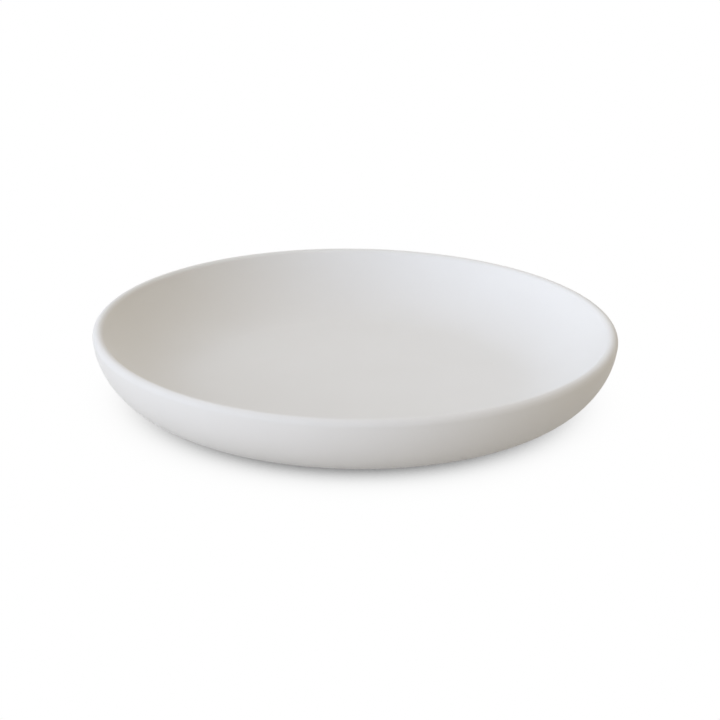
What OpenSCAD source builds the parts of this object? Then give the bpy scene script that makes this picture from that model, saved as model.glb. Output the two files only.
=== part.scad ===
// Coupe dinner plate. One piece of fired clay with a flat well, whose wall curves straight up
// into a rounded lip, with no separate flange. It stands on a low bare foot ring, and a thin
// matte glaze covers the rest of the clay. The table is at height zero, under the plate's centre.

/* [Plate] */
// Diameter over the lip, glaze included
plate_d = 260; // [200:1:320]
// Height from the table to the top of the lip
plate_h = 35.5; // [28:0.5:48]

/* [Wall] */
// Thickness of the rounded lip, glaze included
lip_t = 5.8; // [4:0.1:8]
// Outward lean of the outer wall where it meets the lip, in degrees from upright
lip_lean = 4.5; // [0:0.5:15]
// Radius of the curve that rises from the well to the lip, measured on the glaze
well_bend_r = 46; // [30:0.5:60]

/* [Base] */
// Thickness of the base under the well, glaze included on both faces
base_t = 4.8; // [4:0.1:8]
// Height of the glazed underside over the table
underside_h = 1.5; // [1:0.1:4]

/* [Foot ring] */
// Distance from the foot ring's outside to where the outer wall starts to rise
foot_inset = 16; // [8:0.5:30]
// Width of the foot ring
foot_w = 5; // [3:0.5:8]
// Radius of the foot ring's rounded edges
foot_edge_r = 1; // [0.4:0.1:1.2]

/* [Glaze] */
// Thickness of the glaze
glaze_t = 0.4; // [0.2:0.05:0.8]
// Width of the bare strip wiped clear of glaze on each side of the foot ring
wipe_w = 0.8; // [0.4:0.1:2]

/* [Hidden] */

// Sides of every circle when drawn as a polygon
$fn = 240;

// The lip is a full round, and its centre carries both faces of the wall. It stands proud of
// them by a hair, so that the round and the faces cross and don't merely graze.
lip_proud = 0.002;
lip_r = lip_t / 2;
lip_seat_r = lip_r - lip_proud;
lip_center = [plate_d / 2 - lip_r, plate_h - lip_r];

// The outer wall is one arc, tangent to the lip and to the level underside.
wall_r = (lip_center.y - lip_seat_r * sin(lip_lean) - underside_h) / (1 - sin(lip_lean));
wall_normal = [cos(lip_lean), -sin(lip_lean)];
wall_center = lip_center - (wall_r - lip_seat_r) * wall_normal;

// The inner wall is one arc, tangent to the lip and to the level well floor.
floor_h = underside_h + base_t;
bend_rise = lip_center.y - floor_h - well_bend_r;
bend_run = sqrt((well_bend_r + lip_seat_r) ^ 2 - bend_rise ^ 2);
bend_center = [lip_center.x - bend_run, floor_h + well_bend_r];

// The foot ring is drawn up to the middle of the base, so that the two are one clay.
base_mid_h = underside_h + base_t / 2;
foot_out_r = wall_center.x - foot_inset;
foot_in_r = foot_out_r - foot_w;

// Area below the chord that joins the lip's two tangent points, for the lip's round of radius r.
module below_lip(r) {
    bend_normal = (bend_center - lip_center) / norm(bend_center - lip_center);
    chord_out = lip_center + r * wall_normal;
    chord_in = lip_center + r * bend_normal;
    chord_run = plate_d * (chord_out - chord_in) / norm(chord_out - chord_in);
    drop = [0, plate_d];
    right = chord_out + chord_run;
    left = chord_in - chord_run;
    polygon([right, left, left - drop, right - drop]);
}

// Half section of the plate without its foot ring, with every face moved inwards by inset.
// All arcs keep their centres, so the moved faces stay tangent to one another.
module plate_section(inset) {
    under = underside_h + inset;
    floor_top = floor_h - inset;
    difference() {
        union() {
            translate([0, under]) square([wall_center.x, wall_center.y - under]);
            intersection() {
                translate(wall_center) circle(r = wall_r - inset);
                below_lip(lip_seat_r - inset);
            }
        }
        translate([0, floor_top]) square([bend_center.x, plate_h]);
        translate(bend_center) circle(r = well_bend_r + inset);
    }
    translate(lip_center) circle(r = lip_r - inset);
}

// Half section of the foot ring, with both standing edges rounded.
module foot_section() {
    translate([foot_in_r, foot_edge_r]) square([foot_w, base_mid_h - foot_edge_r]);
    translate([foot_in_r + foot_edge_r, 0]) square([foot_w - 2 * foot_edge_r, base_mid_h]);
    for (edge = [foot_in_r + foot_edge_r, foot_out_r - foot_edge_r])
        translate([edge, foot_edge_r]) circle(r = foot_edge_r);
}

// Fired stoneware: base, wall, lip and foot ring in one piece.
module clay_body() {
    color([0.80, 0.75, 0.67])
    rotate_extrude() {
        plate_section(glaze_t);
        foot_section();
    }
}

// Glaze over the well, the lip, the outer wall and the underside, up to the foot ring.
module glaze_coat() {
    color([0.95, 0.95, 0.94])
    rotate_extrude()
    difference() {
        plate_section(0);
        plate_section(glaze_t);
        square([foot_out_r + wipe_w, base_mid_h]);
    }
}

// Disc of glaze on the underside, inside the foot ring.
module base_glaze() {
    color([0.95, 0.95, 0.94])
    translate([0, 0, underside_h]) cylinder(r = foot_in_r - wipe_w, h = glaze_t);
}

clay_body();
glaze_coat();
base_glaze();
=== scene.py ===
"""Looks of a coupe dinner plate: a matte white glaze over a stoneware body with a bare foot ring.

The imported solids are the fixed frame. Each piece here is turned on the same axis and from the same
sizes as the solid that it stands for. Lengths are in metres, and the table is at height zero.
"""

from __future__ import annotations

import logging
import math
from dataclasses import dataclass
from enum import Enum

import bmesh
import bpy
from mathutils import Matrix, Vector


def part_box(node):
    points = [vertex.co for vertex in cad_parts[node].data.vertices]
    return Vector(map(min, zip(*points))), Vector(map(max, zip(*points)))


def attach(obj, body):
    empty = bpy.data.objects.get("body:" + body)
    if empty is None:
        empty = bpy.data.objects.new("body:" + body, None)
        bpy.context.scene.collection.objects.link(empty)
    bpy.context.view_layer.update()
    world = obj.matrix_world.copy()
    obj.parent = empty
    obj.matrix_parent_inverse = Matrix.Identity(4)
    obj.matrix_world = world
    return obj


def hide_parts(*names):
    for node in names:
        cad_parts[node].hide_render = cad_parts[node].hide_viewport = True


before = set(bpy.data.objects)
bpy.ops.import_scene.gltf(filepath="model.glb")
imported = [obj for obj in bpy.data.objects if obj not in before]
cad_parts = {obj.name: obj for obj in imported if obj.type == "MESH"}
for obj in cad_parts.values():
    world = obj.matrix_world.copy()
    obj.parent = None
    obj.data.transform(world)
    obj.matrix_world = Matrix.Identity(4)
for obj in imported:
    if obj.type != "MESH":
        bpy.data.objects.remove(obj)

LOG = logging.getLogger("coupe_plate")
MM = 0.001
FULL_TURN = 2 * math.pi
QUARTER_TURN = math.pi / 2
# Points closer than this count as one.
WELD_GAP = 0.001 * MM
# Faces that meet at a larger angle keep a crisp edge.
CRISP_ANGLE = math.radians(40)
# Noise runs from 0 to 1 about this value.
NOISE_MIDDLE = 0.5
# A Wave Texture of scale 1 turns this many radians per metre.
WAVE_RATE = 20
# A Mix node has several sockets of one name, and these are the places of its colour sockets.
MIX_LOW, MIX_HIGH, MIX_RESULT = 6, 7, 2

Colour = tuple[float, float, float]
OpaqueColour = tuple[float, float, float, float]


class Body(Enum):
    """Bodies of the frame that a piece can ride on."""

    ROOT = "root"


class Node(Enum):
    """Solids of the frame that the pieces stand for."""

    CLAY = "clay_body"
    COAT = "glaze_coat"
    BASE = "base_glaze"


class Slot(Enum):
    """Material slots of the record."""

    CLAY = "clay"
    GLAZE = "glaze"


class Tint(Enum):
    """Colours of the studio's light."""

    COOL = (0.96, 1.00, 1.09)
    PLAIN = (1.00, 1.00, 1.00)
    WARM = (1.20, 1.00, 0.68)


class Wire:
    """An output socket that can stand in Python sums: each operator adds one Math node."""

    def __init__(self, graph: Graph, socket: bpy.types.NodeSocket | None) -> None:
        """Keep the socket and the graph that it belongs to."""
        self.graph = graph
        self.socket = socket

    def _math(self, operation: str, first: Wire | float, second: Wire | float) -> Wire:
        """Add a Math node and return its result."""
        return self.graph.node("ShaderNodeMath", {0: first, 1: second}, {"operation": operation})

    def __add__(self, other: Wire | float) -> Wire:
        """Add a value."""
        return self._math("ADD", self, other)

    def __radd__(self, other: float) -> Wire:
        """Add to a number."""
        return self._math("ADD", other, self)

    def __sub__(self, other: Wire | float) -> Wire:
        """Take a value away."""
        return self._math("SUBTRACT", self, other)

    def __rsub__(self, other: float) -> Wire:
        """Take this from a number."""
        return self._math("SUBTRACT", other, self)

    def __mul__(self, other: Wire | float) -> Wire:
        """Multiply by a value."""
        return self._math("MULTIPLY", self, other)

    def __rmul__(self, other: float) -> Wire:
        """Multiply a number."""
        return self._math("MULTIPLY", other, self)

    def __pow__(self, other: Wire | float) -> Wire:
        """Raise to a power."""
        return self._math("POWER", self, other)

    def __rpow__(self, other: float) -> Wire:
        """Raise a number to this power."""
        return self._math("POWER", other, self)

    def at_least(self, other: Wire | float) -> Wire:
        """Return the larger of this and a value."""
        return self._math("MAXIMUM", self, other)


class Graph:
    """A node tree that is written from an empty sheet."""

    def __init__(self, tree: bpy.types.NodeTree) -> None:
        """Clear the tree."""
        self.tree = tree
        tree.nodes.clear()

    def node(
        self,
        kind: str,
        inputs: dict[str | int, object] | None = None,
        settings: dict[str, object] | None = None,
        output: str | int = 0,
    ) -> Wire:
        """Add one node.

        Args:
            kind: The node's type.
            inputs: Its sockets by name or number, each with a value or a Wire.
            settings: Its settings, which are set first.
            output: The output to return.

        Returns:
            The chosen output, or an empty Wire for a node that has none.
        """
        made = self.tree.nodes.new(kind)
        for name, value in (settings or {}).items():
            setattr(made, name, value)
        for key, value in (inputs or {}).items():
            if isinstance(value, Wire):
                self.tree.links.new(value.socket, made.inputs[key])
            else:
                made.inputs[key].default_value = value
        return Wire(self, made.outputs[output] if len(made.outputs) else None)

    def place(self) -> Wire:
        """Return the surface's own place, in metres."""
        return self.node("ShaderNodeTexCoord", output="Object")

    def noise(self, place: Wire, size: float, layers: float = 2.0) -> Wire:
        """Return soft noise from 0 to 1, with blotches of a size in metres and some finer layers."""
        inputs = {"Vector": place, "Scale": 1 / size, "Detail": layers}
        return self.node("ShaderNodeTexNoise", inputs, output="Fac")

    def blend(self, factor: Wire, low: Wire | OpaqueColour, high: Wire | OpaqueColour) -> Wire:
        """Return the low colour where the factor is 0, the high one where it is 1, and mixes between."""
        inputs = {0: factor, MIX_LOW: low, MIX_HIGH: high}
        return self.node("ShaderNodeMix", inputs, {"data_type": "RGBA"}, MIX_RESULT)

    def vector(self, operation: str, inputs: dict[str | int, object], output: str = "Vector") -> Wire:
        """Add a Vector Math node and return one of its outputs."""
        return self.node("ShaderNodeVectorMath", inputs, {"operation": operation}, output)

    def bump(self, height: Wire, depth: float) -> Wire:
        """Return the normal that a height gives, where 1 stands for a depth in metres."""
        return self.node("ShaderNodeBump", {"Height": height, "Distance": depth})

    def seen(self) -> Wire:
        """Tell apart the rays that show the backdrop, straight or in a mirror or glass.

        Returns:
            1 on those rays and 0 on all others.
        """
        straight = self.node("ShaderNodeLightPath", output="Is Camera Ray")
        mirrored = self.node("ShaderNodeLightPath", output="Is Glossy Ray")
        through = self.node("ShaderNodeLightPath", output="Is Transmission Ray")
        return straight.at_least(mirrored).at_least(through)


def opaque(colour: Colour) -> OpaqueColour:
    """Return a colour with full alpha."""
    return (*colour, 1.0)


def new_finish(name: str) -> tuple[bpy.types.Material, Graph]:
    """Start a material.

    Args:
        name: The material's name.

    Returns:
        The material and its empty graph.
    """
    made = bpy.data.materials.new(name)
    made.use_nodes = True
    return made, Graph(made.node_tree)


def new_object(name: str, data: bpy.types.ID) -> bpy.types.Object:
    """Put a mesh or a camera into the scene.

    Args:
        name: The object's name.
        data: What it holds.

    Returns:
        The object, at the origin.
    """
    made = bpy.data.objects.new(name, data)
    bpy.context.scene.collection.objects.link(made)
    return made


@dataclass(frozen=True)
class MatteGlaze:
    """Smooth dry white glaze, with the faint cloudiness that it gets in the kiln."""

    name: str = "matte_white_glaze"
    thick: Colour = (0.825, 0.825, 0.820)
    thin: Colour = (0.800, 0.797, 0.788)
    cloud_size: float = 32 * MM
    cloud_layers: float = 4.0
    grain_size: float = 1.6 * MM
    grain_depth: float = 0.012 * MM
    ripple_size: float = 14 * MM
    ripple_depth: float = 0.03 * MM
    roughness: float = 0.62
    roughness_spread: float = 0.10
    specular: float = 0.35

    def material(self) -> bpy.types.Material:
        """Build the material.

        Returns:
            The glaze's material.
        """
        made, graph = new_finish(self.name)
        place = graph.place()
        cloud = graph.noise(place, self.cloud_size, self.cloud_layers)
        grain = graph.noise(place, self.grain_size)
        ripple = graph.noise(place, self.ripple_size)
        height = grain * (self.grain_depth / self.ripple_depth) + ripple
        shader = graph.node(
            "ShaderNodeBsdfPrincipled",
            {
                "Base Color": graph.blend(cloud, opaque(self.thin), opaque(self.thick)),
                "Roughness": self.roughness + (grain - NOISE_MIDDLE) * self.roughness_spread,
                "Specular IOR Level": self.specular,
                "Normal": graph.bump(height, self.ripple_depth),
            },
        )
        graph.node("ShaderNodeOutputMaterial", {"Surface": shader})
        return made


@dataclass(frozen=True)
class BareStoneware:
    """Unglazed fired clay, with fine sand in it and the rings of the turning tool."""

    name: str = "bare_stoneware"
    pale: Colour = (0.66, 0.58, 0.47)
    dark: Colour = (0.50, 0.41, 0.31)
    sand: Colour = (0.30, 0.22, 0.15)
    cloud_size: float = 18 * MM
    cloud_layers: float = 4.0
    sand_size: float = 0.7 * MM
    sand_level: float = 0.60
    sand_edge: float = 9.0
    grain_depth: float = 0.14 * MM
    ring_pitch: float = 1.1 * MM
    ring_depth: float = 0.05 * MM
    ring_waver: float = 0.8
    roughness: float = 0.88
    roughness_spread: float = 0.10
    specular: float = 0.2

    def material(self) -> bpy.types.Material:
        """Build the material.

        Returns:
            The clay's material.
        """
        made, graph = new_finish(self.name)
        place = graph.place()
        cloud = graph.noise(place, self.cloud_size, self.cloud_layers)
        grain = graph.noise(place, self.sand_size)
        ring_scale = FULL_TURN / (WAVE_RATE * self.ring_pitch)
        ring_inputs = {"Vector": place, "Scale": ring_scale, "Distortion": self.ring_waver}
        ring_settings = {"wave_type": "RINGS", "rings_direction": "Z"}
        ring = graph.node("ShaderNodeTexWave", ring_inputs, ring_settings, output="Fac")
        speck = ((grain - self.sand_level) * self.sand_edge).at_least(0.0)
        clay = graph.blend(cloud, opaque(self.dark), opaque(self.pale))
        height = ring * (self.ring_depth / self.grain_depth) + grain
        shader = graph.node(
            "ShaderNodeBsdfPrincipled",
            {
                "Base Color": graph.blend(speck, clay, opaque(self.sand)),
                "Roughness": self.roughness + (grain - NOISE_MIDDLE) * self.roughness_spread,
                "Specular IOR Level": self.specular,
                "Normal": graph.bump(height, self.grain_depth),
            },
        )
        graph.node("ShaderNodeOutputMaterial", {"Surface": shader})
        return made


class Lathe:
    """A half section that is drawn with a moving tip and turned once round the plate's axis."""

    def __init__(self, radius: float, height: float) -> None:
        """Put the tip at the section's first point."""
        self.mesh = bmesh.new()
        self.tip = bmesh.ops.create_vert(self.mesh, co=(radius, 0.0, height))["vert"][0]

    def line_to(self, radius: float, height: float, edges: int = 1) -> None:
        """Draw a straight stretch.

        Args:
            radius: Where it ends, from the axis.
            height: Where it ends, over the table.
            edges: How many equal edges it has.
        """
        step = (Vector((radius, 0.0, height)) - self.tip.co) / edges
        for _ in range(edges):
            self.tip = bmesh.ops.extrude_vert_indiv(self.mesh, verts=[self.tip])["verts"][0]
            bmesh.ops.translate(self.mesh, verts=[self.tip], vec=step)

    def arc(self, centre: Vector, angle: float, edges: int) -> None:
        """Draw a round stretch.

        Args:
            centre: The arc's centre, in the section's plane.
            angle: How far it goes, counter-clockwise with the axis at the left and height upwards.
            edges: How many edges it has.
        """
        swept = bmesh.ops.spin(
            self.mesh, geom=[self.tip], cent=centre, axis=(0, -1, 0), angle=angle, steps=edges
        )
        self.tip = next(item for item in swept["geom_last"] if isinstance(item, bmesh.types.BMVert))

    def turn(self, name: str, sides: int) -> bpy.types.Object:
        """Turn the section round the axis into a closed piece.

        Args:
            name: The piece's name.
            sides: How many sides the full circle has.

        Returns:
            The piece, in the scene.
        """
        bmesh.ops.spin(
            self.mesh,
            geom=[*self.mesh.verts, *self.mesh.edges],
            cent=(0, 0, 0),
            axis=(0, 0, 1),
            angle=FULL_TURN,
            steps=sides,
            use_merge=True,
        )
        bmesh.ops.remove_doubles(self.mesh, verts=self.mesh.verts, dist=WELD_GAP)
        bmesh.ops.recalc_face_normals(self.mesh, faces=self.mesh.faces)
        for face in self.mesh.faces:
            face.smooth = True
        data = bpy.data.meshes.new(name)
        self.mesh.to_mesh(data)
        self.mesh.free()
        data.set_sharp_from_angle(angle=CRISP_ANGLE)
        return new_object(name, data)


@dataclass
class CoupePlate:
    """The plate: a clay body, the glaze coat round it and the glaze disc inside its foot ring.

    The fields hold the sizes that the frame's boxes don't give, and how many edges each stretch of
    the half section has.
    """

    lip_t: float = 5.8 * MM
    lip_lean: float = math.radians(4.5)
    bend_r: float = 46 * MM
    base_t: float = 4.8 * MM
    foot_w: float = 5 * MM
    foot_edge_r: float = 1 * MM
    foot_root_r: float = 0.4 * MM
    wipe_w: float = 0.8 * MM
    sides: int = 288
    shown_edges: int = 40
    hidden_edges: int = 16
    wide_flat_edges: int = 8
    flat_edges: int = 4
    bead_edges: int = 6
    root_edges: int = 5
    foot_edges: int = 8

    def __post_init__(self) -> None:
        """Take the outer sizes from the frame and work out the arcs' centres."""
        coat_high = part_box(Node.COAT.value)[1]
        disc_low, disc_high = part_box(Node.BASE.value)
        self.outer_r = min(coat_high.x, coat_high.y)
        self.top = coat_high.z
        self.under = disc_low.z
        self.clay_under = disc_high.z
        self.glaze_t = self.clay_under - self.under
        self.disc_r = min(disc_high.x, disc_high.y)
        self.foot_in_r = self.disc_r + self.wipe_w
        self.foot_out_r = self.foot_in_r + self.foot_w
        self.coat_edge_r = self.foot_out_r + self.wipe_w
        self.floor = self.under + self.base_t
        self.clay_floor = self.floor - self.glaze_t
        lip_r = self.lip_t / 2
        self.lip_c = Vector((self.outer_r - lip_r, 0.0, self.top - lip_r))
        lean_sin = math.sin(self.lip_lean)
        wall_r = (self.lip_c.z - lip_r * lean_sin - self.under) / (1 - lean_sin)
        reach = wall_r - lip_r
        self.wall_c = self.lip_c - Vector((reach * math.cos(self.lip_lean), 0.0, -reach * lean_sin))
        bend_rise = self.floor + self.bend_r - self.lip_c.z
        lip_slant = math.asin(bend_rise / (self.bend_r + lip_r))
        bend_run = bend_rise / math.tan(lip_slant)
        self.bend_c = Vector((self.lip_c.x - bend_run, 0.0, self.floor + self.bend_r))
        self.bend_angle = QUARTER_TURN - lip_slant
        self.wall_angle = QUARTER_TURN - self.lip_lean
        self.lip_angle = self.bend_angle + QUARTER_TURN + self.lip_lean

    def _out_over_lip(self, lathe: Lathe, edges: int) -> None:
        """Draw from the well floor's edge up the well, over the lip and down to the underside.

        Args:
            lathe: The lathe, with its tip under the bend's centre.
            edges: How many edges each arc has.
        """
        lathe.arc(self.bend_c, self.bend_angle, edges)
        lathe.arc(self.lip_c, -self.lip_angle, edges)
        lathe.arc(self.wall_c, -self.wall_angle, edges)

    def _back_over_lip(self, lathe: Lathe, edges: int) -> None:
        """Draw from the underside up the wall, over the lip and down into the well.

        Args:
            lathe: The lathe, with its tip under the wall's centre.
            edges: How many edges each arc has.
        """
        lathe.arc(self.wall_c, self.wall_angle, edges)
        lathe.arc(self.lip_c, self.lip_angle, edges)
        lathe.arc(self.bend_c, -self.bend_angle, edges)

    def glaze_coat(self) -> bpy.types.Object:
        """Build the coat: its outer face, a rounded edge beside the foot ring, and its inner face.

        Returns:
            The coat.
        """
        bead_r = self.coat_edge_r + self.glaze_t
        lathe = Lathe(0.0, self.floor)
        lathe.line_to(self.bend_c.x, self.floor, self.wide_flat_edges)
        self._out_over_lip(lathe, self.shown_edges)
        lathe.line_to(bead_r, self.under, self.flat_edges)
        lathe.arc(Vector((bead_r, 0.0, self.clay_under)), -QUARTER_TURN, self.bead_edges)
        lathe.line_to(self.wall_c.x, self.clay_under, self.flat_edges)
        self._back_over_lip(lathe, self.hidden_edges)
        lathe.line_to(0.0, self.clay_floor, self.flat_edges)
        return lathe.turn("matte_glaze_coat", self.sides)

    def base_glaze(self) -> bpy.types.Object:
        """Build the disc of glaze inside the foot ring, with a rounded edge.

        Returns:
            The disc.
        """
        bead_r = self.disc_r - self.glaze_t
        lathe = Lathe(0.0, self.under)
        lathe.line_to(bead_r, self.under, self.wide_flat_edges)
        lathe.arc(Vector((bead_r, 0.0, self.clay_under)), QUARTER_TURN, self.bead_edges)
        lathe.line_to(0.0, self.clay_under, self.flat_edges)
        return lathe.turn("base_glaze_disc", self.sides)

    def clay_body(self) -> bpy.types.Object:
        """Build the clay: well, lip, wall and underside below the glaze, and the foot ring.

        Returns:
            The clay body.
        """
        edge = self.foot_edge_r
        root = self.foot_root_r
        root_out_r = self.foot_out_r + root
        root_in_r = self.foot_in_r - root
        root_z = self.clay_under - root
        lathe = Lathe(0.0, self.clay_floor)
        lathe.line_to(self.bend_c.x, self.clay_floor, self.flat_edges)
        self._out_over_lip(lathe, self.hidden_edges)
        lathe.line_to(root_out_r, self.clay_under, self.flat_edges)
        lathe.arc(Vector((root_out_r, 0.0, root_z)), QUARTER_TURN, self.root_edges)
        lathe.line_to(self.foot_out_r, edge)
        lathe.arc(Vector((self.foot_out_r - edge, 0.0, edge)), -QUARTER_TURN, self.foot_edges)
        lathe.line_to(self.foot_in_r + edge, 0.0, self.flat_edges)
        lathe.arc(Vector((self.foot_in_r + edge, 0.0, edge)), -QUARTER_TURN, self.foot_edges)
        lathe.line_to(self.foot_in_r, root_z)
        lathe.arc(Vector((root_in_r, 0.0, root_z)), QUARTER_TURN, self.root_edges)
        lathe.line_to(0.0, self.clay_under, self.flat_edges)
        return lathe.turn("stoneware_body", self.sides)

    def build(self) -> None:
        """Build the three pieces, dress them and set each on the frame in its solid's place."""
        glaze = MatteGlaze().material()
        clay = BareStoneware().material()
        for piece, finish, node, slot in (
            (self.clay_body(), clay, Node.CLAY, Slot.CLAY),
            (self.glaze_coat(), glaze, Node.COAT, Slot.GLAZE),
            (self.base_glaze(), glaze, Node.BASE, Slot.GLAZE),
        ):
            piece.data.materials.append(finish)
            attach(piece, Body.ROOT.value)
            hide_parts(node.value)
            LOG.info("%s: %d faces, for %s", piece.name, len(piece.data.polygons), node.value)


@dataclass
class TableTop:
    """The white surface under the plate, with a soft painted shade round the plate's foot."""

    width: float = 12.0
    bounce: Colour = (0.73, 0.70, 0.65)
    shade_reach: float = 0.25
    shade_depth: float = 0.96
    shade_power: float = 6.2
    shade_samples: int = 24

    def material(self) -> bpy.types.Material:
        """Build the table's finish: a white glow with a painted shade round the plate's foot.

        Returns:
            The table's material.
        """
        made, graph = new_finish("table_with_painted_shade")
        # Painted shade: the glow that the camera sees is darkened where ambient occlusion finds the
        # plate close, not by a shadow of the lamps.
        sky_inputs = {"Distance": self.shade_reach}
        sky_settings = {"samples": self.shade_samples}
        sky = graph.node("ShaderNodeAmbientOcclusion", sky_inputs, sky_settings, output="AO")
        painted_shade_tone = 1.0 - (1.0 - sky) ** self.shade_power * self.shade_depth
        surface = graph.node("ShaderNodeBsdfDiffuse", {"Color": opaque(self.bounce)})
        # This glow carries the painted shade round the foot and is white where the shade doesn't reach.
        white = graph.node("ShaderNodeEmission", {"Color": painted_shade_tone})
        shader = graph.node("ShaderNodeMixShader", {0: graph.seen(), 1: surface, 2: white})
        graph.node("ShaderNodeOutputMaterial", {"Surface": shader})
        return made

    def build(self) -> None:
        """Lay the table."""
        mesh = bmesh.new()
        bmesh.ops.create_grid(mesh, x_segments=1, y_segments=1, size=self.width / 2)
        data = bpy.data.meshes.new("table_top")
        mesh.to_mesh(data)
        mesh.free()
        data.materials.append(self.material())
        new_object("table_top", data)


@dataclass(frozen=True)
class SoftLight:
    """A wide soft patch of light in the studio, far away.

    Its bearing is measured from the viewer's side towards the picture's right, and its height over
    the table, both in degrees. Its strength is that of the patch's middle.
    """

    bearing: float
    height: float
    strength: float
    tint: Tint

    def direction(self) -> Vector:
        """Work out where the patch is.

        Returns:
            The unit vector that points at it.
        """
        turn, lift = math.radians(self.bearing), math.radians(self.height)
        level = math.cos(lift)
        return Vector((math.sin(turn) * level, -math.cos(turn) * level, math.sin(lift)))


@dataclass
class Studio:
    """Cool main light from the left front, weaker light from behind and a warm return from the right."""

    focus: float = 6.0
    lights: tuple[SoftLight, ...] = (
        SoftLight(bearing=315, height=12, strength=3.85, tint=Tint.COOL),
        SoftLight(bearing=225, height=40, strength=1.38, tint=Tint.PLAIN),
        SoftLight(bearing=90, height=40, strength=0.90, tint=Tint.WARM),
        SoftLight(bearing=135, height=65, strength=0.60, tint=Tint.COOL),
        SoftLight(bearing=180, height=12, strength=0.48, tint=Tint.COOL),
    )
    backdrop: Colour = (1.0, 1.0, 1.0)

    def build(self) -> None:
        """Write the world's light, with plain white where the camera looks past the table."""
        world = bpy.data.worlds.new("soft_studio")
        world.use_nodes = True
        graph = Graph(world.node_tree)
        way = graph.node("ShaderNodeTexCoord", output="Generated")
        total: Wire | Colour = (0.0, 0.0, 0.0)
        for light in self.lights:
            facing = graph.vector("DOT_PRODUCT", {0: way, 1: light.direction()}, "Value")
            patch = facing.at_least(0.0) ** self.focus * light.strength
            tinted = graph.vector("SCALE", {0: light.tint.value, "Scale": patch})
            total = graph.vector("ADD", {0: total, 1: tinted})
        lit = graph.node("ShaderNodeBackground", {"Color": total})
        white = graph.node("ShaderNodeBackground", {"Color": opaque(self.backdrop)})
        shader = graph.node("ShaderNodeMixShader", {0: graph.seen(), 1: lit, 2: white})
        graph.node("ShaderNodeOutputWorld", {"Surface": shader})
        bpy.context.scene.world = world


@dataclass
class PhotoCamera:
    """The camera at the photograph's place, fitted to the plate's outline."""

    target_height: float = 32.6 * MM
    elevation: float = math.radians(19.238)
    distance: float = 0.78
    lens_mm: float = 77.89
    sensor_mm: float = 36.0
    aim_down: float = math.radians(1.238)
    aim_right: float = math.radians(0.178)
    roll: float = math.radians(0.794)

    def build(self) -> None:
        """Set the camera up and make it the scene's own."""
        data = bpy.data.cameras.new("photo_camera")
        data.sensor_width = self.sensor_mm
        data.lens = self.lens_mm
        camera = new_object("photo_camera", data)
        back = Vector((0.0, -math.cos(self.elevation), math.sin(self.elevation)))
        stand = Vector((0.0, 0.0, self.target_height)) + self.distance * back
        level = Matrix.Rotation(QUARTER_TURN - self.elevation, 4, "X")
        aim = Matrix.Rotation(-self.aim_down, 4, "X") @ Matrix.Rotation(-self.aim_right, 4, "Y")
        roll = Matrix.Rotation(self.roll, 4, "Z")
        camera.matrix_world = Matrix.Translation(stand) @ level @ aim @ roll
        bpy.context.scene.camera = camera


def main() -> None:
    """Build the plate, its table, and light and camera."""
    logging.basicConfig(level=logging.INFO, format="%(message)s")
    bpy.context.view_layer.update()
    bpy.context.scene.view_settings.view_transform = "Standard"
    PhotoCamera().build()
    Studio().build()
    TableTop().build()
    CoupePlate().build()


if __name__ == "__main__":
    main()
